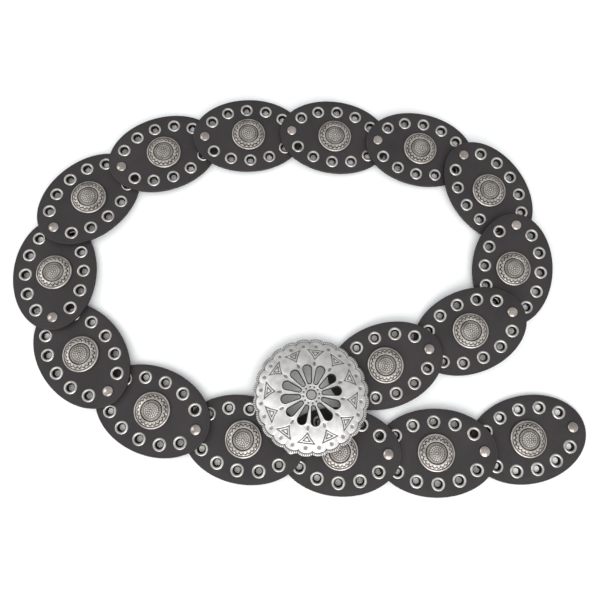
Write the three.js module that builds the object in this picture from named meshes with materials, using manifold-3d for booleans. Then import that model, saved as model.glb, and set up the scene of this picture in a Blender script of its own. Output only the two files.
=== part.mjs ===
// Concho belt lying in an open coil: sixteen leather ovals riveted end over end, a cast
// disc in the middle of each, and a large pierced buckle over the first one.
// Sizes are millimetres, +Z is up and the table is at Z = 0.
import * as THREE from "three";
import { mergeVertices } from "three/addons/utils/BufferGeometryUtils.js";
import Module from "manifold-3d";

const wasm = await Module();
wasm.setup();
const { Manifold, Mesh: SolidMesh } = wasm;

const DEGREE = Math.PI / 180;

// Leather ovals
const ovalLength = 84;
const ovalWidth = 59;
const ovalSides = 28;
const leatherThickness = 2.4;
const rivetMargin = 8.85; // from an oval's tip to the middle of its rivet
const eyeletMargin = 8.9; // from an oval's side to the middle of its eyelets
const eyeletBore = 5.3;
const eyeletLip = 0.5; // a pressed eyelet stands this far above the leather
const eyeletAngles = [35.5, 64, 90, 116, 144.5]; // on the far side, mirrored to the near side

// Rivets
const rivetCapDiameter = 7.5;
const rivetCapHeight = 1.6;
const rivetShaftDiameter = 3;
const shaftClearance = 0.6;
const shaftGrip = 1.8; // how deep a shaft reaches into the leather below

// Small conchos, as rings from the rim to the top: share of the radius and height
const conchoDiameter = 25.4;
const conchoSides = 12;
const conchoRings = [
  { share: 1, height: 1.1 },
  { share: 0.85, height: 1.1 },
  { share: 0.6, height: 2.6 },
  { share: 0.19, height: 3.7 },
];

// Play between pieces that lie on each other
const pieceGap = 0.3;

// Coil: each oval's direction in degrees, from the buckle's end to the free end
const coilHeadings = [
  19.9, 23.6, 82.8, 122.9, 169.6, 173.9, 185, 202.5,
  226.6, 274.4, 309.5, 337.1, 349, 356.9, 361.4, 373.9,
];

// Buckle shell
const buckleDiameter = 80;
const buckleSides = 36;
const buckleRise = 8;
const buckleWall = 1.6;
const buckleHole = 6;
const buckleRings = [0.33, 0.55, 0.75, 0.92]; // shares of the radius where the dome bends
const scallopCount = 24;
const scallopDepth = 1.6;
const scallopTurn = 1;
const petalCount = 12;
const petalTurn = 8.7;
const petalInner = { reach: 7.6, width: 2.4 };
const petalOuter = { reach: 20.5, width: 5.6 };

// Buckle seat on the belt, and its back
const buckleReach = 24.1; // from the first oval's near hole to the buckle's middle
const buckleSwing = 5.2;
const buckleLean = 5.5;
const postDiameter = 3;
const hookDiameter = 3.2;
const hookLength = 11;
const hookReach = 26.6;
const hookDrop = 2;
const hookTurn = 160;

const halfLength = ovalLength / 2;
const halfWidth = ovalWidth / 2;
const rivetReach = halfLength - rivetMargin;
const eyeletReach = halfWidth - eyeletMargin;
const shaftRadius = rivetShaftDiameter / 2;
const conchoRadius = conchoDiameter / 2;
const buckleRadius = buckleDiameter / 2;
const leatherGap = eyeletLip + pieceGap;

// A skin with its seams welded and the empty triangles on the axis dropped
function closedSkin(geometry) {
  const bare = new THREE.BufferGeometry();
  bare.setAttribute("position", geometry.getAttribute("position"));
  bare.setIndex(geometry.getIndex());
  const welded = mergeVertices(bare, 1e-4);
  const corners = welded.getIndex().array;
  const kept = [];
  for (let i = 0; i < corners.length; i += 3) {
    const [a, b, c] = corners.slice(i, i + 3);
    if (a !== b && b !== c && c !== a) kept.push(a, b, c);
  }
  welded.setIndex(kept);
  welded.computeVertexNormals();
  return welded;
}

function toSolid(geometry) {
  const skin = closedSkin(geometry);
  return new Manifold(new SolidMesh({
    numProp: 3,
    vertProperties: new Float32Array(skin.getAttribute("position").array),
    triVerts: new Uint32Array(skin.getIndex().array),
  }));
}

function fromSolid(solid) {
  const mesh = solid.getMesh();
  const geometry = new THREE.BufferGeometry();
  geometry.setAttribute("position", new THREE.BufferAttribute(mesh.vertProperties, 3));
  geometry.setIndex(new THREE.BufferAttribute(mesh.triVerts, 1));
  geometry.computeVertexNormals();
  return geometry;
}

// Points evenly round an ellipse
function ellipse(x, y, reachX, reachY, sides) {
  const points = [];
  for (let i = 0; i < sides; i += 1) {
    const turn = (i / sides) * 2 * Math.PI;
    points.push(new THREE.Vector2(x + reachX * Math.cos(turn), y + reachY * Math.sin(turn)));
  }
  return points;
}

// A six-sided hole whose flats touch a circle of the given radius
function hexHole(x, y, radius) {
  const corner = radius / Math.cos(Math.PI / 6);
  return new THREE.Path().setFromPoints(ellipse(x, y, corner, corner, 6));
}

function turned(profile, sides) {
  const points = profile.map(([radius, height]) => new THREE.Vector2(radius, height));
  return closedSkin(new THREE.LatheGeometry(points, sides).rotateX(Math.PI / 2));
}

// Leather oval, flat, with its underside at Z = 0 and its far end at +X
function leatherOval() {
  const shape = new THREE.Shape(ellipse(0, 0, halfLength, halfWidth, ovalSides));
  for (const angle of eyeletAngles) {
    const x = rivetReach * Math.cos(angle * DEGREE);
    const y = eyeletReach * Math.sin(angle * DEGREE);
    shape.holes.push(hexHole(x, y, eyeletBore / 2), hexHole(x, -y, eyeletBore / 2));
  }
  for (const x of [-rivetReach, rivetReach]) {
    shape.holes.push(hexHole(x, 0, shaftRadius + shaftClearance));
  }
  const options = { depth: leatherThickness, bevelEnabled: false };
  return closedSkin(new THREE.ExtrudeGeometry(shape, options));
}

// Concho on the middle of an oval
function concho() {
  const base = leatherThickness + pieceGap;
  const top = conchoRings.at(-1).height;
  const rings = conchoRings.map(({ share, height }) => [share * conchoRadius, base + height]);
  return turned([[0, base], [conchoRadius, base], ...rings, [0, base + top]], conchoSides);
}

// Rivet at an oval's far end: a domed cap and a shaft down to the given height
function rivet(shaftEnd) {
  const seat = leatherThickness + pieceGap;
  const cap = rivetCapDiameter / 2;
  const profile = [
    [0, shaftEnd],
    [shaftRadius, shaftEnd],
    [shaftRadius, seat],
    [cap, seat],
    [cap * 0.7, seat + rivetCapHeight * 0.8],
    [0, seat + rivetCapHeight],
  ];
  return turned(profile, 8).translate(rivetReach, 0, 0);
}

// Where the ovals lie: each is pinned through its far rivet to the next one's near hole
const ovals = coilHeadings.map((heading) => ({
  x: 0,
  y: 0,
  slope: 0,
  turn: heading * DEGREE,
  along: new THREE.Vector2(Math.cos(heading * DEGREE), Math.sin(heading * DEGREE)),
}));
for (let i = 1; i < ovals.length; i += 1) {
  const [last, next] = [ovals[i - 1], ovals[i]];
  next.x = last.x + rivetReach * (last.along.x + next.along.x);
  next.y = last.y + rivetReach * (last.along.y + next.along.y);
}

// A point of the table in an oval's own directions, and whether it lies within the oval
function onOval(oval, x, y) {
  const [dx, dy] = [x - oval.x, y - oval.y];
  const along = dx * oval.along.x + dy * oval.along.y;
  const across = dy * oval.along.x - dx * oval.along.y;
  const inside = (along / halfLength) ** 2 + (across / halfWidth) ** 2 <= 1;
  return { along, across, inside };
}

function leatherTop(oval, along) {
  return (along + halfLength) * oval.slope + leatherThickness;
}

// The last oval lies flat; each one before it rests its far end on the next
const sampleStep = 1;
function slopeOver(oval, below) {
  let slope = 0;
  for (let u = sampleStep - halfLength; u <= halfLength; u += sampleStep) {
    for (let v = -halfWidth; v <= halfWidth; v += sampleStep) {
      const x = oval.x + u * oval.along.x - v * oval.along.y;
      const y = oval.y + u * oval.along.y + v * oval.along.x;
      const lower = onOval(below, x, y);
      if (!lower.inside || !onOval(oval, x, y).inside) continue;
      slope = Math.max(slope, (leatherTop(below, lower.along) + leatherGap) / (u + halfLength));
    }
  }
  return slope;
}
for (let i = ovals.length - 2; i >= 0; i -= 1) {
  ovals[i].slope = slopeOver(ovals[i], ovals[i + 1]);
}

function ovalPose(oval) {
  const tilt = Math.atan(oval.slope);
  return {
    position: new THREE.Vector3(oval.x, oval.y, halfLength * Math.sin(tilt)),
    rotation: new THREE.Euler(0, -tilt, oval.turn, "ZYX"),
  };
}

// Height of what lies on the table under a point: leather, eyelets, conchos and rivets
function clutterTop(x, y) {
  let top = 0;
  for (const oval of ovals) {
    const { along, across, inside } = onOval(oval, x, y);
    if (!inside) continue;
    const leather = leatherTop(oval, along);
    top = Math.max(top, leather + eyeletLip);
    if (Math.hypot(along - rivetReach, across) < rivetCapDiameter / 2 + pieceGap) {
      top = Math.max(top, leather + pieceGap + rivetCapHeight);
    }
    const share = Math.hypot(along, across) / conchoRadius;
    for (let ring = 1; ring < conchoRings.length; ring += 1) {
      if (share <= conchoRings[ring - 1].share) {
        top = Math.max(top, leather + pieceGap + conchoRings[ring].height);
      }
    }
  }
  return top;
}

function domeTop(radius) {
  return buckleWall + buckleRise * (1 - (radius / buckleRadius) ** 2);
}

// Buckle's middle, and its lowest height at which the shell clears what is under it
const first = ovals[0];
const nearHole = new THREE.Vector2(first.x, first.y).addScaledVector(first.along, -rivetReach);
const buckleTurn = first.turn + Math.PI + buckleSwing * DEGREE;
const buckleMiddle = nearHole.clone().add(
  new THREE.Vector2(Math.cos(buckleTurn), Math.sin(buckleTurn)).multiplyScalar(buckleReach),
);
let buckleHeight = 0;
for (let radius = buckleHole / 2; radius <= buckleRadius; radius += sampleStep) {
  for (let turn = 0; turn < 360; turn += 3) {
    const dx = radius * Math.cos(turn * DEGREE);
    const dy = radius * Math.sin(turn * DEGREE);
    const roof = domeTop(radius) - buckleWall - dy * Math.tan(buckleLean * DEGREE);
    const clutter = clutterTop(buckleMiddle.x + dx, buckleMiddle.y + dy);
    buckleHeight = Math.max(buckleHeight, clutter + pieceGap - roof);
  }
}
const bucklePose = {
  position: new THREE.Vector3(buckleMiddle.x, buckleMiddle.y, buckleHeight),
  rotation: new THREE.Euler(-buckleLean * DEGREE, 0, 0),
};

// Scalloped edge of the buckle, as seen from above
function scallopedEdge() {
  const pitch = 360 / scallopCount;
  const points = [];
  for (let i = 0; i < scallopCount; i += 1) {
    for (const [share, inset] of [[0, scallopDepth], [0.28, 0], [0.72, 0]]) {
      const turn = (scallopTurn + (i + share) * pitch) * DEGREE;
      const radius = buckleRadius - inset;
      points.push(new THREE.Vector2(radius * Math.cos(turn), radius * Math.sin(turn)));
    }
  }
  return new THREE.Shape(points);
}

// A teardrop petal along +X, narrow end inward
function petal() {
  const [inner, outer] = [petalInner.width / 2, petalOuter.width / 2];
  const shape = new THREE.Shape();
  const innerAt = petalInner.reach + inner;
  const outerAt = petalOuter.reach - outer;
  for (const turn of [120, 180, 240]) {
    const [x, y] = [innerAt + inner * Math.cos(turn * DEGREE), inner * Math.sin(turn * DEGREE)];
    if (turn === 120) shape.moveTo(x, y);
    else shape.lineTo(x, y);
  }
  for (const turn of [-90, -45, 0, 45, 90]) {
    shape.lineTo(outerAt + outer * Math.cos(turn * DEGREE), outer * Math.sin(turn * DEGREE));
  }
  return shape;
}

// A prism that runs right through the buckle
function cutter(shape) {
  const depth = 4 * buckleRise;
  const prism = new THREE.ExtrudeGeometry(shape, { depth, bevelEnabled: false });
  return prism.translate(0, 0, -depth / 2);
}

function upright(radius, x, y, low, high) {
  const bar = new THREE.CylinderGeometry(radius, radius, high - low, 10).rotateX(Math.PI / 2);
  return toSolid(bar.translate(x, y, (low + high) / 2));
}

// Buckle: a pierced dome with a post into the first oval's near hole and a hook behind
function buckle() {
  const overshoot = 1.02;
  const radii = [buckleHole / 2, ...buckleRings.map((share) => share * buckleRadius)];
  radii.push(overshoot * buckleRadius);
  const under = radii.map((radius) => [radius, domeTop(radius) - buckleWall]);
  const over = radii.map((radius) => [radius, domeTop(radius)]).reverse();
  let shell = toSolid(turned([...under, ...over, under[0]], buckleSides));
  shell = shell.intersect(toSolid(cutter(scallopedEdge())));
  for (let i = 0; i < petalCount; i += 1) {
    const turn = (petalTurn + (i * 360) / petalCount) * DEGREE;
    shell = shell.subtract(toSolid(cutter(petal()).rotateZ(turn)));
  }

  const place = new THREE.Matrix4().makeRotationFromEuler(bucklePose.rotation);
  place.setPosition(bucklePose.position);
  const holeFloor = (halfLength - rivetReach) * first.slope;
  const pin = new THREE.Vector3(nearHole.x, nearHole.y, holeFloor + leatherThickness / 2);
  pin.applyMatrix4(place.invert());
  const pinRoof = domeTop(Math.hypot(pin.x, pin.y)) - buckleWall / 2;
  const post = upright(postDiameter / 2, pin.x, pin.y, pin.z - leatherThickness / 4, pinRoof);

  const hookRadius = hookDiameter / 2;
  const hookAt = new THREE.Vector2(hookReach, 0).rotateAround(new THREE.Vector2(), hookTurn * DEGREE);
  const hookRoof = domeTop(hookReach) - buckleWall / 2;
  const stem = upright(hookRadius, hookAt.x, hookAt.y, -hookDrop - hookRadius, hookRoof);
  const finger = new THREE.CylinderGeometry(hookRadius * 0.9, hookRadius * 0.9, hookLength, 10)
    .rotateZ(-Math.PI / 2)
    .translate(hookReach + hookLength / 2, 0, -hookDrop)
    .rotateZ(hookTurn * DEGREE);
  return fromSolid(shell.add(post).add(stem).add(toSolid(finger)));
}

// The belt, one named piece at a time
const leatherLook = { color: 0x484244, roughness: 0.62, metalness: 0 };
const conchoLook = { color: 0xa39d94, roughness: 0.38, metalness: 1 };
const rivetLook = { color: 0xb5afa6, roughness: 0.3, metalness: 1 };
const buckleLook = { color: 0xb8b7b4, roughness: 0.34, metalness: 1 };

const belt = new THREE.Group();
belt.name = "concho_belt";

function addPiece(name, geometry, look, pose) {
  const piece = new THREE.Mesh(geometry, new THREE.MeshStandardMaterial(look));
  piece.name = name;
  piece.position.copy(pose.position);
  piece.rotation.copy(pose.rotation);
  belt.add(piece);
}

ovals.forEach((oval, i) => {
  const number = String(i + 1).padStart(2, "0");
  const pose = ovalPose(oval);
  const lies = i === ovals.length - 1;
  const shaftEnd = lies ? leatherThickness - shaftGrip : -(leatherGap + shaftGrip);
  addPiece(`link_${number}`, leatherOval(), leatherLook, pose);
  addPiece(`concho_${number}`, concho(), conchoLook, pose);
  addPiece(`rivet_${number}`, rivet(shaftEnd), rivetLook, pose);
});
addPiece("buckle", buckle(), buckleLook, bucklePose);

// Origin in the middle of the belt's footprint, on the table
const bounds = new THREE.Box3().setFromObject(belt, true);
const middle = bounds.getCenter(new THREE.Vector3());
const origin = new THREE.Vector3(middle.x, middle.y, bounds.min.z);
for (const piece of belt.children) piece.position.sub(origin);

export default belt;
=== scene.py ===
# Concho belt lying in an open coil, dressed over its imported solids.
import math

import bpy
import numpy as np
from mathutils import Matrix, Vector


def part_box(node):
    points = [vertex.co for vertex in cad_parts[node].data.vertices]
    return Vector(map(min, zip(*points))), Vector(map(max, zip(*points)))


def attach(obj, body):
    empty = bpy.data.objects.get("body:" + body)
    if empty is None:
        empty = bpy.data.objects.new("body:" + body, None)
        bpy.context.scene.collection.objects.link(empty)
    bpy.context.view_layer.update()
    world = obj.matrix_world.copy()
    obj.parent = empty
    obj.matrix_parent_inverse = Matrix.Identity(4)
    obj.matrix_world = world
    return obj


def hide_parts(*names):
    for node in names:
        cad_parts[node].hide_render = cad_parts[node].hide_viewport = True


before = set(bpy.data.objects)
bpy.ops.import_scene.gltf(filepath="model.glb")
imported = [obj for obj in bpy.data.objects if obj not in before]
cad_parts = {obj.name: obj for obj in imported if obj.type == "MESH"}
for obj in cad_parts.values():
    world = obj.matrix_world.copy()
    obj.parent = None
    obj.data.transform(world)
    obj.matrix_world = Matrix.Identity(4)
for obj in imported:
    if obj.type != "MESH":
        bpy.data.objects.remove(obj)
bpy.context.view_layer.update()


# Studio. The belt lies on a white table in a bright room that is darker towards the back,
# with a broad, low soft light in front. The camera looks nearly straight down on it.
MM = 0.001
table_width = 6
table_drop = 0.05
front_glow = 1.5
back_glow = 0.8


def srgb(code):
    """Linear colour of an sRGB hex code."""
    shares = [int(code[i:i + 2], 16) / 255 for i in (0, 2, 4)]
    return [s / 12.92 if s <= 0.04045 else ((s + 0.055) / 1.055) ** 2.4 for s in shares] + [1]


def add_node(tree, kind, inputs=None, links=None, stops=None, **settings):
    """A node with its settings, its socket values, its ramp colours and its links."""
    node = tree.nodes.new(kind)
    for name, value in settings.items():
        setattr(node, name, value)
    for socket, value in (inputs or {}).items():
        node.inputs[socket].default_value = value
    for socket, source in (links or {}).items():
        tree.links.new(source, node.inputs[socket])
    if stops:
        ramp = node.color_ramp.elements
        while len(ramp) < len(stops):
            ramp.new(0.5)
        for element, (place, shade) in zip(ramp, stops):
            element.position = place
            element.color = shade if isinstance(shade, list) else (shade, shade, shade, 1)
    return node


def new_material(name):
    """An empty material: its node tree and its Principled shader."""
    material = bpy.data.materials.new(name)
    material.use_nodes = True
    return material, material.node_tree, material.node_tree.nodes["Principled BSDF"]


bpy.ops.object.select_all(action="DESELECT")
bpy.ops.mesh.primitive_plane_add(size=table_width, location=(0, 0, -table_drop * MM))
table = bpy.context.object
table.name = "table"
table_paint, _, table_shader = new_material("matte_white_laminate")
table_shader.inputs["Base Color"].default_value = srgb("f6f6f5")
table_shader.inputs["Roughness"].default_value = 0.8
table.data.materials.append(table_paint)

camera_place = Vector((-4.65, -81.5, 368.4)) * MM
camera_pitch = math.radians(10.92)
camera_roll = math.radians(-1.22)
photo_width = 600
focal_pixels = 514.3
camera = bpy.data.objects.new("photo_camera", bpy.data.cameras.new("photo_camera"))
bpy.context.collection.objects.link(camera)
camera.location = camera_place
camera.rotation_euler = (camera_pitch, camera_roll, 0)
camera.data.sensor_width = 36
camera.data.lens = camera.data.sensor_width * focal_pixels / photo_width
camera.data.clip_start = 0.01
bpy.context.scene.camera = camera


def soft_light(name, place, size, power):
    """A square soft light aimed at the middle of the table."""
    lamp = bpy.data.lights.new(name, "AREA")
    lamp.size = size
    lamp.energy = power
    light = bpy.data.objects.new(name, lamp)
    bpy.context.collection.objects.link(light)
    light.location = place
    light.rotation_euler = Vector(place).to_track_quat("Z", "Y").to_euler()


soft_light("front_softbox", place=(0.1, -1.3, 0.75), size=1.5, power=17)
soft_light("left_softbox", place=(-1.1, 0.1, 0.9), size=0.7, power=3)

world = bpy.data.worlds.new("studio_air")
bpy.context.scene.world = world
world.use_nodes = True
air = world.node_tree
view = add_node(air, "ShaderNodeTexCoord")
view_parts = add_node(air, "ShaderNodeSeparateXYZ", links={"Vector": view.outputs["Generated"]})
front_to_back = add_node(air, "ShaderNodeMapRange",
                         {"From Min": -1, "To Min": front_glow, "To Max": back_glow},
                         {"Value": view_parts.outputs["Y"]})
air.nodes["Background"].inputs["Color"].default_value = srgb("e6e8ea")
air.links.new(front_to_back.outputs["Result"], air.nodes["Background"].inputs["Strength"])
bpy.context.scene.view_settings.view_transform = "Standard"


# Leather ovals. Sixteen ovals die cut from smooth dark belt leather, their edges rounded
# and burnished. Each lies over the next one's end and is pinned to it.
oval_half_length = 42
oval_half_width = 29.5
leather_thickness = 2.4
rivet_reach = 33.15
eyelet_reach = 20.6
eyelet_angles = (35.5, 64, 90, 116, 144.5)
eyelet_hole_radius = 3.1
shaft_hole_radius = 1.9
edge_round = 0.5
oval_sides = 96
punch_margin = 1
numbers = [f"{i:02d}" for i in range(1, 17)]
eyelet_spots = [
    (rivet_reach * math.cos(math.radians(a)), side * eyelet_reach * math.sin(math.radians(a)))
    for a in eyelet_angles for side in (1, -1)
]


def node_points(name):
    """The separate corner points of a CAD node, in metres."""
    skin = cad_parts[name].data
    points = np.empty(len(skin.vertices) * 3)
    skin.vertices.foreach_get("co", points)
    return np.unique(points.reshape(-1, 3).round(6), axis=0)


def frame_from(origin, along, up):
    """A placing matrix from an origin, an X direction and a Z direction."""
    across = np.cross(up, along)
    rows = np.column_stack([along, across, up, origin])
    return Matrix([*rows.tolist(), [0, 0, 0, 1]])


def oval_place(number):
    """Where an oval lies: the middle of its underside, with X towards its own rivet."""
    points = node_points(f"link_{number}")
    middle = points.mean(axis=0)
    axes = np.linalg.eigh(np.cov((points - middle).T))[1]
    up = axes[:, 0] * np.sign(axes[2, 0])
    rivet_middle = sum(np.array(corner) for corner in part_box(f"rivet_{number}")) / 2
    along = axes[:, 2] * np.sign(np.dot(axes[:, 2], rivet_middle - middle))
    return frame_from(middle - up * leather_thickness / 2 * MM, along, up)


def prism(outline, low, high):
    """A straight block over an outline of (x, y) points in mm, between two heights."""
    bpy.ops.object.select_all(action="DESELECT")
    bpy.ops.mesh.primitive_circle_add(vertices=len(outline), radius=1, fill_type="NGON")
    block = bpy.context.object
    for vertex, (x, y) in zip(block.data.vertices, outline):
        vertex.co = (x * MM, y * MM, low * MM)
    bpy.ops.object.mode_set(mode="EDIT")
    bpy.ops.mesh.select_all(action="SELECT")
    rise = {"value": (0, 0, (high - low) * MM)}
    bpy.ops.mesh.extrude_region_move(TRANSFORM_OT_translate=rise)
    bpy.ops.mesh.select_all(action="SELECT")
    bpy.ops.mesh.normals_make_consistent(inside=False)
    bpy.ops.object.mode_set(mode="OBJECT")
    return block


def joined(pieces):
    """Several objects as one mesh object."""
    bpy.ops.object.select_all(action="DESELECT")
    for piece in pieces:
        piece.select_set(True)
    bpy.context.view_layer.objects.active = pieces[0]
    bpy.ops.object.join()
    return bpy.context.object


def apply_modifier(piece, kind, **settings):
    """Adds one modifier to a piece and applies it."""
    bpy.ops.object.select_all(action="DESELECT")
    piece.select_set(True)
    bpy.context.view_layer.objects.active = piece
    modifier = piece.modifiers.new(kind.lower(), kind)
    for name, value in settings.items():
        setattr(modifier, name, value)
    bpy.ops.object.modifier_apply(modifier=modifier.name)


def smooth_shading(piece, degrees):
    bpy.ops.object.select_all(action="DESELECT")
    piece.select_set(True)
    bpy.context.view_layer.objects.active = piece
    bpy.ops.object.shade_smooth_by_angle(angle=math.radians(degrees))


def circle_points(x, y, radius, count):
    steps = [2 * math.pi * i / count for i in range(count)]
    return [(x + radius * math.cos(s), y + radius * math.sin(s)) for s in steps]


def laid_copy(pattern, name, place):
    """Its own copy of a finished pattern piece, with its place in its mesh."""
    piece = pattern.copy()
    piece.data = pattern.data.copy()
    piece.name = piece.data.name = name
    bpy.context.collection.objects.link(piece)
    piece.data.transform(place)
    return piece


def settle(piece, material, slot, *nodes):
    """Gives a piece its finish and lets it stand for its CAD nodes on the belt."""
    piece.data.materials.clear()
    piece.data.materials.append(material)
    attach(piece, "root")
    if nodes:
        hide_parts(*nodes)


def leather_pattern():
    """One oval, flat on its back, with its rounded edges and its holes."""
    steps = [2 * math.pi * i / oval_sides for i in range(oval_sides)]
    edge = [(oval_half_length * math.cos(s), oval_half_width * math.sin(s)) for s in steps]
    oval = prism(edge, 0, leather_thickness)
    apply_modifier(oval, "BEVEL", width=edge_round * MM, segments=3, limit_method="ANGLE")
    punches = [circle_points(x, y, eyelet_hole_radius, 20) for x, y in eyelet_spots]
    punches += [circle_points(x, 0, shaft_hole_radius, 16) for x in (-rivet_reach, rivet_reach)]
    reach = (-punch_margin, leather_thickness + punch_margin)
    punch = joined([prism(outline, *reach) for outline in punches])
    apply_modifier(oval, "BOOLEAN", operation="DIFFERENCE", object=punch, solver="EXACT")
    bpy.data.objects.remove(punch)
    plan = oval.data.uv_layers.new(name="plan")
    for loop in oval.data.loops:
        x, y, _ = oval.data.vertices[loop.vertex_index].co / MM
        plan.data[loop.index].uv = (x / oval_half_length, y / oval_half_width)
    smooth_shading(oval, 40)
    return oval


# Smooth chrome-tanned belt leather, dyed through and waxed: near black with a brown cast, a soft
# sheen, slow cloudy changes of shade, and darker burnished edges, with a lighter band painted on
# the top of the rounded edge as a highlight.
# Its grain is about 0.4 mm, drawn here at 1.2 mm so that it shows.
leather, tree, shader = new_material("waxed_belt_leather")
place = add_node(tree, "ShaderNodeTexCoord")
cloud = add_node(tree, "ShaderNodeTexNoise", {"Scale": 1 / 0.03, "Detail": 3, "Roughness": 0.6},
                 {"Vector": place.outputs["Object"]})
dye = add_node(tree, "ShaderNodeValToRGB", links={"Fac": cloud.outputs["Fac"]},
               stops=[(0.3, srgb("2c2829")), (0.7, srgb("383334"))])
grain = add_node(tree, "ShaderNodeTexVoronoi", {"Scale": 1 / 0.0012, "Randomness": 1},
                 {"Vector": place.outputs["Object"]})
pores = add_node(tree, "ShaderNodeTexNoise", {"Scale": 1 / 0.0007, "Detail": 2},
                 {"Vector": place.outputs["Object"]})
plan = add_node(tree, "ShaderNodeUVMap", uv_map="plan")
rim_share = add_node(tree, "ShaderNodeVectorMath", links={0: plan.outputs["UV"]},
                     operation="LENGTH")
# Painted highlight: the 1.15 stop lightens the top of the rounded edge as if it caught the
# light; the dark outer stop is the burnished edge.
burnish_and_edge_highlight = add_node(tree, "ShaderNodeValToRGB", links={"Fac": rim_share.outputs["Value"]},
                   stops=[(0.93, 1), (0.965, 0.86), (0.985, 1.15), (1, 0.6)])
pore_shade = add_node(tree, "ShaderNodeValToRGB", links={"Fac": pores.outputs["Fac"]},
                      stops=[(0.35, 0.82), (0.6, 1)])
burnished_and_highlit = add_node(tree, "ShaderNodeMix", {0: 1.0},
                {6: dye.outputs["Color"], 7: burnish_and_edge_highlight.outputs["Color"]},
                data_type="RGBA", blend_type="MULTIPLY")
pored = add_node(tree, "ShaderNodeMix", {0: 1.0},
                 {6: burnished_and_highlit.outputs[2], 7: pore_shade.outputs["Color"]},
                 data_type="RGBA", blend_type="MULTIPLY")
sheen_map = add_node(tree, "ShaderNodeMapRange", {"To Min": 0.58, "To Max": 0.74},
                     {"Value": cloud.outputs["Fac"]})
grain_bump = add_node(tree, "ShaderNodeBump", {"Strength": 0.25, "Distance": 0.12 * MM},
                      {"Height": grain.outputs["Distance"]})
pore_bump = add_node(tree, "ShaderNodeBump", {"Strength": 0.3, "Distance": 0.06 * MM},
                     {"Height": pores.outputs["Fac"], "Normal": grain_bump.outputs["Normal"]})
shader.inputs["Specular IOR Level"].default_value = 0.3
tree.links.new(pored.outputs[2], shader.inputs["Base Color"])
tree.links.new(sheen_map.outputs["Result"], shader.inputs["Roughness"])
tree.links.new(pore_bump.outputs["Normal"], shader.inputs["Normal"])

oval_places = {number: oval_place(number) for number in numbers}
pattern = leather_pattern()
for number in numbers:
    oval = laid_copy(pattern, f"leather_oval_{number}", oval_places[number])
    settle(oval, leather, "leather", f"link_{number}")
bpy.data.objects.remove(pattern)


# Eyelets. Ten pressed nickel eyelets in every oval: a short barrel through the leather
# with its top rolled over into a rounded lip, and its other end curled in at the back.
eyelet_bore_radius = 2.75
eyelet_back_radius = 2.1
eyelet_flare_radius = 3.6
eyelet_lip_radius = 4.7
eyelet_lip_height = 0.5
eyelet_play = 0.05
eyelet_back_height = 0.1
pressed_in = 0.02
eyelet_sides = 18


def turned_piece(profile, steps):
    """A closed profile of (radius, height) points in mm, spun round into one skin."""
    bpy.ops.object.select_all(action="DESELECT")
    bpy.ops.mesh.primitive_circle_add(vertices=len(profile), radius=1)
    piece = bpy.context.object
    for vertex, (radius, height) in zip(piece.data.vertices, profile):
        vertex.co = (radius * MM, 0, height * MM)
    bpy.ops.object.mode_set(mode="EDIT")
    bpy.ops.mesh.select_all(action="SELECT")
    bpy.ops.mesh.spin(steps=steps, angle=2 * math.pi, center=(0, 0, 0), axis=(0, 0, 1))
    bpy.ops.mesh.select_all(action="SELECT")
    bpy.ops.mesh.remove_doubles(threshold=0.001 * MM)
    bpy.ops.mesh.delete_loose()
    bpy.ops.mesh.select_all(action="SELECT")
    bpy.ops.mesh.normals_make_consistent(inside=False)
    bpy.ops.object.mode_set(mode="OBJECT")
    return piece


def mesh_points(piece):
    """A piece's points in mm, one row each."""
    points = np.empty(len(piece.data.vertices) * 3)
    piece.data.vertices.foreach_get("co", points)
    return points.reshape(-1, 3) / MM


def move_points(piece, points):
    piece.data.vertices.foreach_set("co", (points * MM).ravel())
    piece.data.update()


def mark_recess(piece, darkness):
    """Keeps how deep in painted shadow and oxide each point lies, from 0 to 1."""
    recess = piece.data.attributes.new("recess", "FLOAT", "POINT")
    recess.data.foreach_set("value", np.ascontiguousarray(darkness, dtype=np.float32))


def plated_metal(name, bright, dull, recess_dark, roughness, scratch_size):
    """Cast or pressed metal with a plate showing wear: dull cloudy patches, and dark oxide that
    was wiped off the high places and stays in the recesses. The same dark colour also paints
    shade wherever a piece's recess share marks it."""
    metal, tree, shader = new_material(name)
    place = add_node(tree, "ShaderNodeTexCoord")
    cloud = add_node(tree, "ShaderNodeTexNoise", {"Scale": 1 / 0.006, "Detail": 4},
                     {"Vector": place.outputs["Object"]})
    plate = add_node(tree, "ShaderNodeValToRGB", links={"Fac": cloud.outputs["Fac"]},
                     stops=[(0.35, srgb(dull)), (0.62, srgb(bright))])
    specks = add_node(tree, "ShaderNodeTexNoise", {"Scale": 1 / scratch_size, "Detail": 5},
                      {"Vector": place.outputs["Object"]})
    recess = add_node(tree, "ShaderNodeAttribute", attribute_name="recess")
    speckled = add_node(tree, "ShaderNodeMath",
                        links={0: recess.outputs["Fac"], 1: specks.outputs["Fac"]},
                        inputs={2: -0.12}, operation="MULTIPLY_ADD")
    spread = add_node(tree, "ShaderNodeMath",
                      links={0: recess.outputs["Fac"], 1: speckled.outputs["Value"]},
                      operation="ADD", use_clamp=True)
    # Mixes towards the dark recess colour: oxide in hollows, and painted shade where a piece
    # marks it.
    recess_darkened = add_node(tree, "ShaderNodeMix",
                      {7: srgb(recess_dark)},
                      {0: spread.outputs["Value"], 6: plate.outputs["Color"]},
                      data_type="RGBA")
    matt = add_node(tree, "ShaderNodeMapRange", {"To Min": roughness, "To Max": 0.72},
                    {"Value": spread.outputs["Value"]})
    fine = add_node(tree, "ShaderNodeBump", {"Strength": 0.3, "Distance": 0.05 * MM},
                    {"Height": specks.outputs["Fac"]})
    shader.inputs["Metallic"].default_value = 1
    tree.links.new(recess_darkened.outputs[2], shader.inputs["Base Color"])
    tree.links.new(matt.outputs["Result"], shader.inputs["Roughness"])
    tree.links.new(fine.outputs["Normal"], shader.inputs["Normal"])
    return metal


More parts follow.
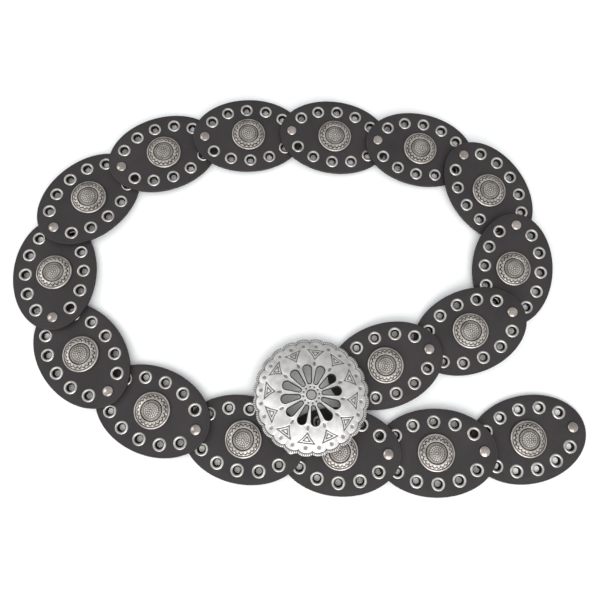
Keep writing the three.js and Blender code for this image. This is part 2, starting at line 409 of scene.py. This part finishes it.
# Antique nickel plate, pressed and tumbled: a grey satin shine, with painted shade down in the
# barrel.
eyelet_nickel = plated_metal("antique_nickel_plate", "c8c4be", "a4a09b", "383634",
                             roughness=0.34, scratch_size=0.6 * MM)

lip_top = leather_thickness + eyelet_lip_height
lip_foot = leather_thickness - pressed_in
barrel_radius = eyelet_hole_radius - eyelet_play
eyelet = turned_piece([
    (eyelet_back_radius, eyelet_back_height),
    (eyelet_back_radius + 0.05, eyelet_back_height + 0.5),
    (eyelet_bore_radius, 1.3),
    (eyelet_bore_radius, lip_top - 0.9),
    (eyelet_bore_radius + 0.25, lip_top - 0.45),
    (eyelet_flare_radius, lip_top - 0.12),
    (eyelet_flare_radius + 0.35, lip_top),
    (eyelet_lip_radius - 0.3, lip_top - 0.12),
    (eyelet_lip_radius, lip_foot),
    (barrel_radius, lip_foot),
    (barrel_radius, eyelet_back_height),
], eyelet_sides)
points = mesh_points(eyelet)
# Painted shade: the inside of the barrel is darkened, more the deeper it lies below the lip.
depth_down = np.clip((lip_top - 0.2 - points[:, 2]) / 0.5, 0, 1)
in_barrel = np.hypot(points[:, 0], points[:, 1]) < eyelet_flare_radius - 0.05
mark_recess(eyelet, depth_down * in_barrel)
smooth_shading(eyelet, 60)
eyelet_row = joined([
    laid_copy(eyelet, "eyelet", Matrix.Translation((x * MM, y * MM, 0))) for x, y in eyelet_spots
])
for number in numbers:
    eyelets = laid_copy(eyelet_row, f"eyelets_{number}", oval_places[number])
    settle(eyelets, eyelet_nickel, "nickel")
bpy.data.objects.remove(eyelet)
bpy.data.objects.remove(eyelet_row)


# Rivets. A nickel cap rivet at each oval's far end: a low domed cap pressed onto a shaft
# that holds two ovals together and lets them turn.
rivet_cap_radius = 3.75
rivet_cap_height = 1.8
rivet_crown = 1.1
rivet_shaft_radius = 1.5
shaft_through = 2.6
last_shaft_end = 0.6
rivet_sides = 28

# Satin nickel plate, pressed and tumbled: a soft, slightly pink shine.
rivet_nickel = plated_metal("satin_nickel_plate", "b0a7a1", "918984", "3a3734",
                            roughness=0.22, scratch_size=0.8 * MM)


def rivet_pattern(shaft_end):
    cap, top = rivet_cap_radius, leather_thickness + rivet_cap_height
    rivet = turned_piece([
        (0, shaft_end),
        (rivet_shaft_radius, shaft_end),
        (rivet_shaft_radius, leather_thickness),
        (cap - 0.15, leather_thickness),
        (cap, leather_thickness + 0.25),
        (cap - 0.1, leather_thickness + 0.6),
        *((share * cap, top - rivet_crown * share**2) for share in (0.86, 0.68, 0.46, 0.23)),
        (0, top),
    ], rivet_sides)
    spots = mesh_points(rivet)
    low = np.clip((leather_thickness + 0.5 - spots[:, 2]) / 0.5, 0, 1)
    mark_recess(rivet, 0.7 * low)
    smooth_shading(rivet, 50)
    rivet.data.transform(Matrix.Translation((rivet_reach * MM, 0, 0)))
    return rivet


for number in numbers:
    last = number == numbers[-1]
    pattern = rivet_pattern(last_shaft_end if last else -shaft_through)
    rivet = laid_copy(pattern, f"cap_rivet_{number}", oval_places[number])
    settle(rivet, rivet_nickel, "nickel", f"rivet_{number}")
    bpy.data.objects.remove(pattern)


# Small conchos. One-inch cast discs, screwed to the middle of each oval from behind: a
# rim, a wavy line with seeds in its bays, a dark ring, a ticked ring and a disc of beads.
concho_radius = 12.7
concho_edge = 0.9
concho_rise = 2.2
rim_crest_radius = 12
rim_groove_radius = 11.3
wave_count = 20
wave_radius = 8.5
wave_height = 1.5
seed_ring_radius = 10.35
dark_ring_radius = 7.3
tick_band = (5.6, 7)
tick_count = 40
bead_disc_radius = 5.3
bead_rings = ((1.8, 8), (3.15, 14), (4.5, 20))
concho_steps = 160
concho_rings = 46
concho_twist = math.radians(37)


def smooth_step(low, high, value):
    share = np.clip((value - low) / (high - low), 0, 1)
    return share * share * (3 - 2 * share)


def stroke(distance, width):
    """1 along a line, falling to 0 at the given distance from it."""
    return 1 - smooth_step(width * 0.4, width, np.abs(distance))


def nearest(radius, turn, first, count):
    """Points in the axes of the nearest of evenly spaced rays: along it, and across it."""
    pitch = 2 * math.pi / count
    off = (turn - first + pitch / 2) % pitch - pitch / 2
    return radius * np.cos(off), radius * np.sin(off)


def concho_dome(radius):
    return concho_edge + concho_rise * (1 - (radius / concho_radius) ** 2)


def concho_relief(radius, turn):
    """Height to add to the dome, and the tarnish, at points of a small concho in mm."""
    height = 0.35 * stroke(radius - rim_crest_radius, 0.8)
    dark = 0.75 * stroke(radius - rim_groove_radius, 0.42)

    wave = wave_radius + wave_height * np.abs(np.sin(turn * wave_count / 2)) ** 0.9
    beyond = smooth_step(0, 0.3, radius - wave) * (radius < rim_groove_radius)
    along, across = nearest(radius, turn, 0, wave_count)
    seed = np.hypot((along - seed_ring_radius) / 0.75, across / 0.8)
    raised_seed = 1 - smooth_step(0.6, 1, seed)
    shaded = beyond * (0.12 + 0.2 * stroke(seed - 1.15, 0.3)) * (1 - raised_seed)
    height += beyond * (0.28 * raised_seed - 0.12)
    height += 0.3 * (radius > dark_ring_radius + 0.3) * (radius < wave)
    dark = np.maximum(dark, shaded)
    dark = np.maximum(dark, 0.95 * stroke(radius - wave - 0.15, 0.5))

    groove = stroke(radius - dark_ring_radius, 0.42)
    height -= 0.4 * groove
    dark = np.maximum(dark, 0.85 * groove)
    ticks = 0.5 + 0.5 * np.cos(tick_count * turn)
    band = (radius > tick_band[0]) & (radius < tick_band[1])
    height += band * 0.12 * ticks
    dark = np.maximum(dark, band * (0.55 - 0.35 * ticks))
    dark = np.maximum(dark, 0.6 * stroke(radius - bead_disc_radius - 0.15, 0.26))

    disc = radius < bead_disc_radius
    beads = 1 - smooth_step(0.45, 0.85, radius)
    for reach, count in bead_rings:
        along, across = nearest(radius, turn, reach, count)
        bead = 1 - smooth_step(0.35, 0.68, np.hypot(along - reach, across))
        beads = np.maximum(beads, bead)
    height += disc * (0.2 + 0.25 * beads) + 0.3 * (1 - smooth_step(0.4, 0.9, radius))
    dark = np.maximum(dark, disc * (0.5 - 0.5 * beads))
    return height, dark


# Cast white metal with an antique silver plate: a soft warm grey shine on what stands
# proud, and near-black oxide left in every recess.
concho_silver = plated_metal("antique_silver_concho_plate", "beb7b1", "9c9690", "22201e",
                             roughness=0.36, scratch_size=0.5 * MM)

radii = np.linspace(concho_radius, 0, concho_rings)
profile = [(0, 0), (concho_radius - 0.3, 0), (concho_radius, 0.3)]
profile += [(radius, concho_dome(radius)) for radius in radii]
concho = turned_piece(profile, concho_steps)
points = mesh_points(concho)
radius = np.hypot(points[:, 0], points[:, 1])
turn = np.arctan2(points[:, 1], points[:, 0])
face = points[:, 2] > 0.6
relief, recess_dark = concho_relief(radius, turn)
points[:, 2] += face * relief + leather_thickness
move_points(concho, points)
mark_recess(concho, np.where(face, recess_dark, 0.5))
smooth_shading(concho, 70)
for i, number in enumerate(numbers):
    turned = Matrix.Rotation(i * concho_twist, 4, "Z")
    disc = laid_copy(concho, f"concho_disc_{number}", oval_places[number] @ turned)
    settle(disc, concho_silver, "concho_silver", f"concho_{number}")
bpy.data.objects.remove(concho)


# Buckle. A large cast dome, pierced with twelve petals round a plain hole and engraved with
# triangles and dimples, its scalloped edge milled like rope. A post and a hook are behind.
# The rope has about 250 strands, drawn here as 192 so that they show.
buckle_radius = 40
buckle_rise = 8
buckle_wall = 1.6
buckle_hole_radius = 3
scallop_depth = 1.6
scallop_count = 24
scallop_first = math.radians(1)
petal_count = 12
petal_first = math.radians(8.7)
between_petals = petal_first + math.pi / petal_count
petal_inner = (8.8, 1.2)
petal_outer = (17.7, 2.8)
dot_ring_radius = 5.5
lobe_middle, lobe_length, lobe_width = 26.5, 6.4, 6.2
seed_middle = 21.6
triangle_apex, triangle_base, triangle_half_base = 24.8, 31.4, 5.65
dimple_ring_radius = 34.4
dimple_first = math.radians(8.5)
border_radius = 32.2
rope_width = 1.45
rope_strands = 192
scallops_from = 31
buckle_steps = 720
face_rings = 112
back_rings = 14


def buckle_dome(radius):
    return buckle_wall + buckle_rise * (1 - (radius / buckle_radius) ** 2)


def buckle_place():
    """Where the buckle sits: the middle of its rim's underside, from its round hole."""
    points = node_points("buckle")
    middle = sum(np.array(corner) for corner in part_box("buckle")) / 2
    near = np.hypot(*(points - middle)[:, :2].T) < 1.5 * buckle_hole_radius * MM
    hole = points[near]
    centre = hole.mean(axis=0)
    axes = np.linalg.eigh(np.cov((hole - centre).T))[1]
    up = axes[:, 0] * np.sign(axes[2, 0])
    hole_height = buckle_dome(buckle_hole_radius) - buckle_wall / 2
    return frame_from(centre - up * hole_height * MM, np.array([1.0, 0, 0]), up)


def scalloped_radius(turn):
    share = ((turn - scallop_first) * scallop_count / (2 * math.pi)) % 1
    return buckle_radius - scallop_depth * (1 - np.sin(math.pi * share) ** 0.5)


def buckle_relief(radius, turn):
    """Height to add to the dome, and the darkening, at points of the buckle's face in mm: oxide
    in the engraving, and painted shade along the pierced edges.
    """
    height = 0.2 * stroke(radius - buckle_hole_radius - 0.3, 0.8)
    # Painted shade: the dark ring at the hole's edge stands for the shadow of the hole's wall.
    dark = 0.9 * (1 - smooth_step(0.3, 0.9, radius - buckle_hole_radius))

    along, across = nearest(radius, turn, petal_first, petal_count)
    dot = 1 - smooth_step(0.5, 0.95, np.hypot(along - dot_ring_radius, across))
    height -= 0.35 * dot
    dark = np.maximum(dark, 0.6 * dot)
    axis_point = np.clip(along, petal_inner[0], petal_outer[0])
    half_width = np.interp(axis_point, *zip(petal_inner, petal_outer))
    outside = np.hypot(along - axis_point, across) - half_width
    height += 0.12 * (1 - smooth_step(0.5, 1.4, outside))
    # Painted shade: the dark outline round each petal stands for the shadow of its pierced wall.
    dark = np.maximum(dark, 0.9 * (1 - smooth_step(0.3, 0.9, outside)))
    from_lobe = np.hypot((along - lobe_middle) / lobe_length, across / lobe_width)
    lobe = np.clip(1 - from_lobe**2, 0, 1)
    height += 0.3 * np.sqrt(lobe)

    along, across = nearest(radius, turn, between_petals, petal_count)
    seed = 1 - smooth_step(0.7, 1.1, np.hypot((along - seed_middle) / 1.9, across / 1.1))
    height -= 0.4 * seed
    dark = np.maximum(dark, 0.48 * seed)
    drop = triangle_base - triangle_apex
    run = math.hypot(drop, triangle_half_base)
    ahead, aside = along - triangle_apex, np.abs(across)
    side = (ahead * triangle_half_base - aside * drop) / run
    share = np.clip((ahead * drop + aside * triangle_half_base) / run**2, 0, 1)
    inside = np.minimum(side - 1.4 * share * (1 - share), triangle_base - along)
    lines = np.maximum(stroke(inside, 0.5), stroke(inside - 1.35, 0.48))
    height -= 0.3 * lines
    dark = np.maximum(dark, 0.64 * lines)

    along, across = nearest(radius, turn, dimple_first, scallop_count)
    dimple = 1 - smooth_step(1.0, 1.5, np.hypot(along - dimple_ring_radius, across))
    height -= 0.45 * dimple
    dark = np.maximum(dark, 0.46 * dimple)

    edge = scalloped_radius(turn) - radius
    groove = stroke(edge - rope_width - 0.5, 0.42)
    strand = 0.5 + 0.5 * np.cos(rope_strands * turn)
    rope = smooth_step(-0.1, 0.4, edge)
    rope *= 1 - smooth_step(rope_width - 0.25, rope_width + 0.25, edge)
    height += rope * (0.05 + 0.3 * strand) - 0.35 * groove
    dark = np.maximum(dark, np.maximum(0.65 * groove, rope * (0.72 - 0.68 * strand)))
    border = smooth_step(border_radius, border_radius + 0.8, radius)
    dark = np.maximum(dark, 0.16 * border * (1 - rope))
    return height, dark


# The same antique silver as the conchos, thicker and paler: a nearly white satin, with a faint
# grey film on the border and oxide in the engraved lines and dimples, and painted shade along
# the edges of the petals and the hole.
buckle_silver = plated_metal("antique_silver_buckle_plate", "dbd9d6", "c2bfbc", "262523",
                             roughness=0.43, scratch_size=0.7 * MM)


def petal_outline():
    (inner_at, inner), (outer_at, outer) = petal_inner, petal_outer
    ends = [(inner_at, inner, angle) for angle in range(90, 271, 30)]
    ends += [(outer_at, outer, angle) for angle in range(-90, 91, 15)]
    return [
        (at + r * math.cos(math.radians(angle)), r * math.sin(math.radians(angle)))
        for at, r, angle in ends
    ]


face_radii = np.linspace(buckle_radius, buckle_hole_radius, face_rings)
back_radii = np.linspace(buckle_hole_radius, buckle_radius - 0.3, back_rings)
profile = [(radius, buckle_dome(radius) - buckle_wall) for radius in back_radii]
profile += [(buckle_radius, 0.35), (buckle_radius, 0.9)]
profile += [(radius, buckle_dome(radius)) for radius in face_radii]
buckle = turned_piece(profile, buckle_steps)
petals = []
for i in range(petal_count):
    petal = prism(petal_outline(), -buckle_rise / 2, buckle_rise * 2)
    petal.data.transform(Matrix.Rotation(petal_first + i * 2 * math.pi / petal_count, 4, "Z"))
    petals.append(petal)
piercing = joined(petals)
apply_modifier(buckle, "BOOLEAN", operation="DIFFERENCE", object=piercing, solver="MANIFOLD")
bpy.data.objects.remove(piercing)

points = mesh_points(buckle)
radius = np.hypot(points[:, 0], points[:, 1])
turn = np.arctan2(points[:, 1], points[:, 0])
face = points[:, 2] > buckle_dome(radius) - buckle_wall * 0.3
inset = buckle_radius - scalloped_radius(turn)
pull = smooth_step(scallops_from, buckle_radius, radius) * inset
points[:, :2] *= ((radius - pull) / radius)[:, None]
relief, recess_dark = buckle_relief(radius - pull, turn)
points[:, 2] += face * relief
move_points(buckle, points)
mark_recess(buckle, np.where(face, recess_dark, 0.3))
smooth_shading(buckle, 50)

post_radius = 1.5
hook_radius = 1.5
hook_reach = 26.6
hook_length = 11
hook_drop = 2
hook_turn = math.radians(160)
seat = buckle_place()
near_hole = oval_places["01"] @ Vector((-rivet_reach * MM, 0, leather_thickness / 2 * MM))
post_foot = (seat.inverted() @ near_hole) / MM
hook_at = (hook_reach * math.cos(hook_turn), hook_reach * math.sin(hook_turn))


def upright(x, y, radius, low, high):
    return prism(circle_points(x, y, radius, 20), low, high)


post_roof = buckle_dome(math.hypot(post_foot.x, post_foot.y)) - buckle_wall / 2
post = upright(post_foot.x, post_foot.y, post_radius, post_foot.z - 0.6, post_roof)
stem_roof = buckle_dome(hook_reach) - buckle_wall / 2
stem = upright(*hook_at, hook_radius, -hook_drop - hook_radius, stem_roof)
finger = upright(0, 0, hook_radius * 0.9, 0, hook_length)
finger.data.transform(
    Matrix.Translation((hook_at[0] * MM, hook_at[1] * MM, -hook_drop * MM))
    @ Matrix.Rotation(hook_turn, 4, "Z") @ Matrix.Rotation(math.pi / 2, 4, "Y")
)
for bar in (post, stem, finger):
    apply_modifier(bar, "BEVEL", width=0.35 * MM, segments=2, limit_method="ANGLE")
    mark_recess(bar, np.full(len(bar.data.vertices), 0.45))
    smooth_shading(bar, 50)
buckle = joined([buckle, post, stem, finger])
buckle.name = buckle.data.name = "pierced_buckle"
buckle.data.transform(seat)
settle(buckle, buckle_silver, "buckle_silver", "buckle")
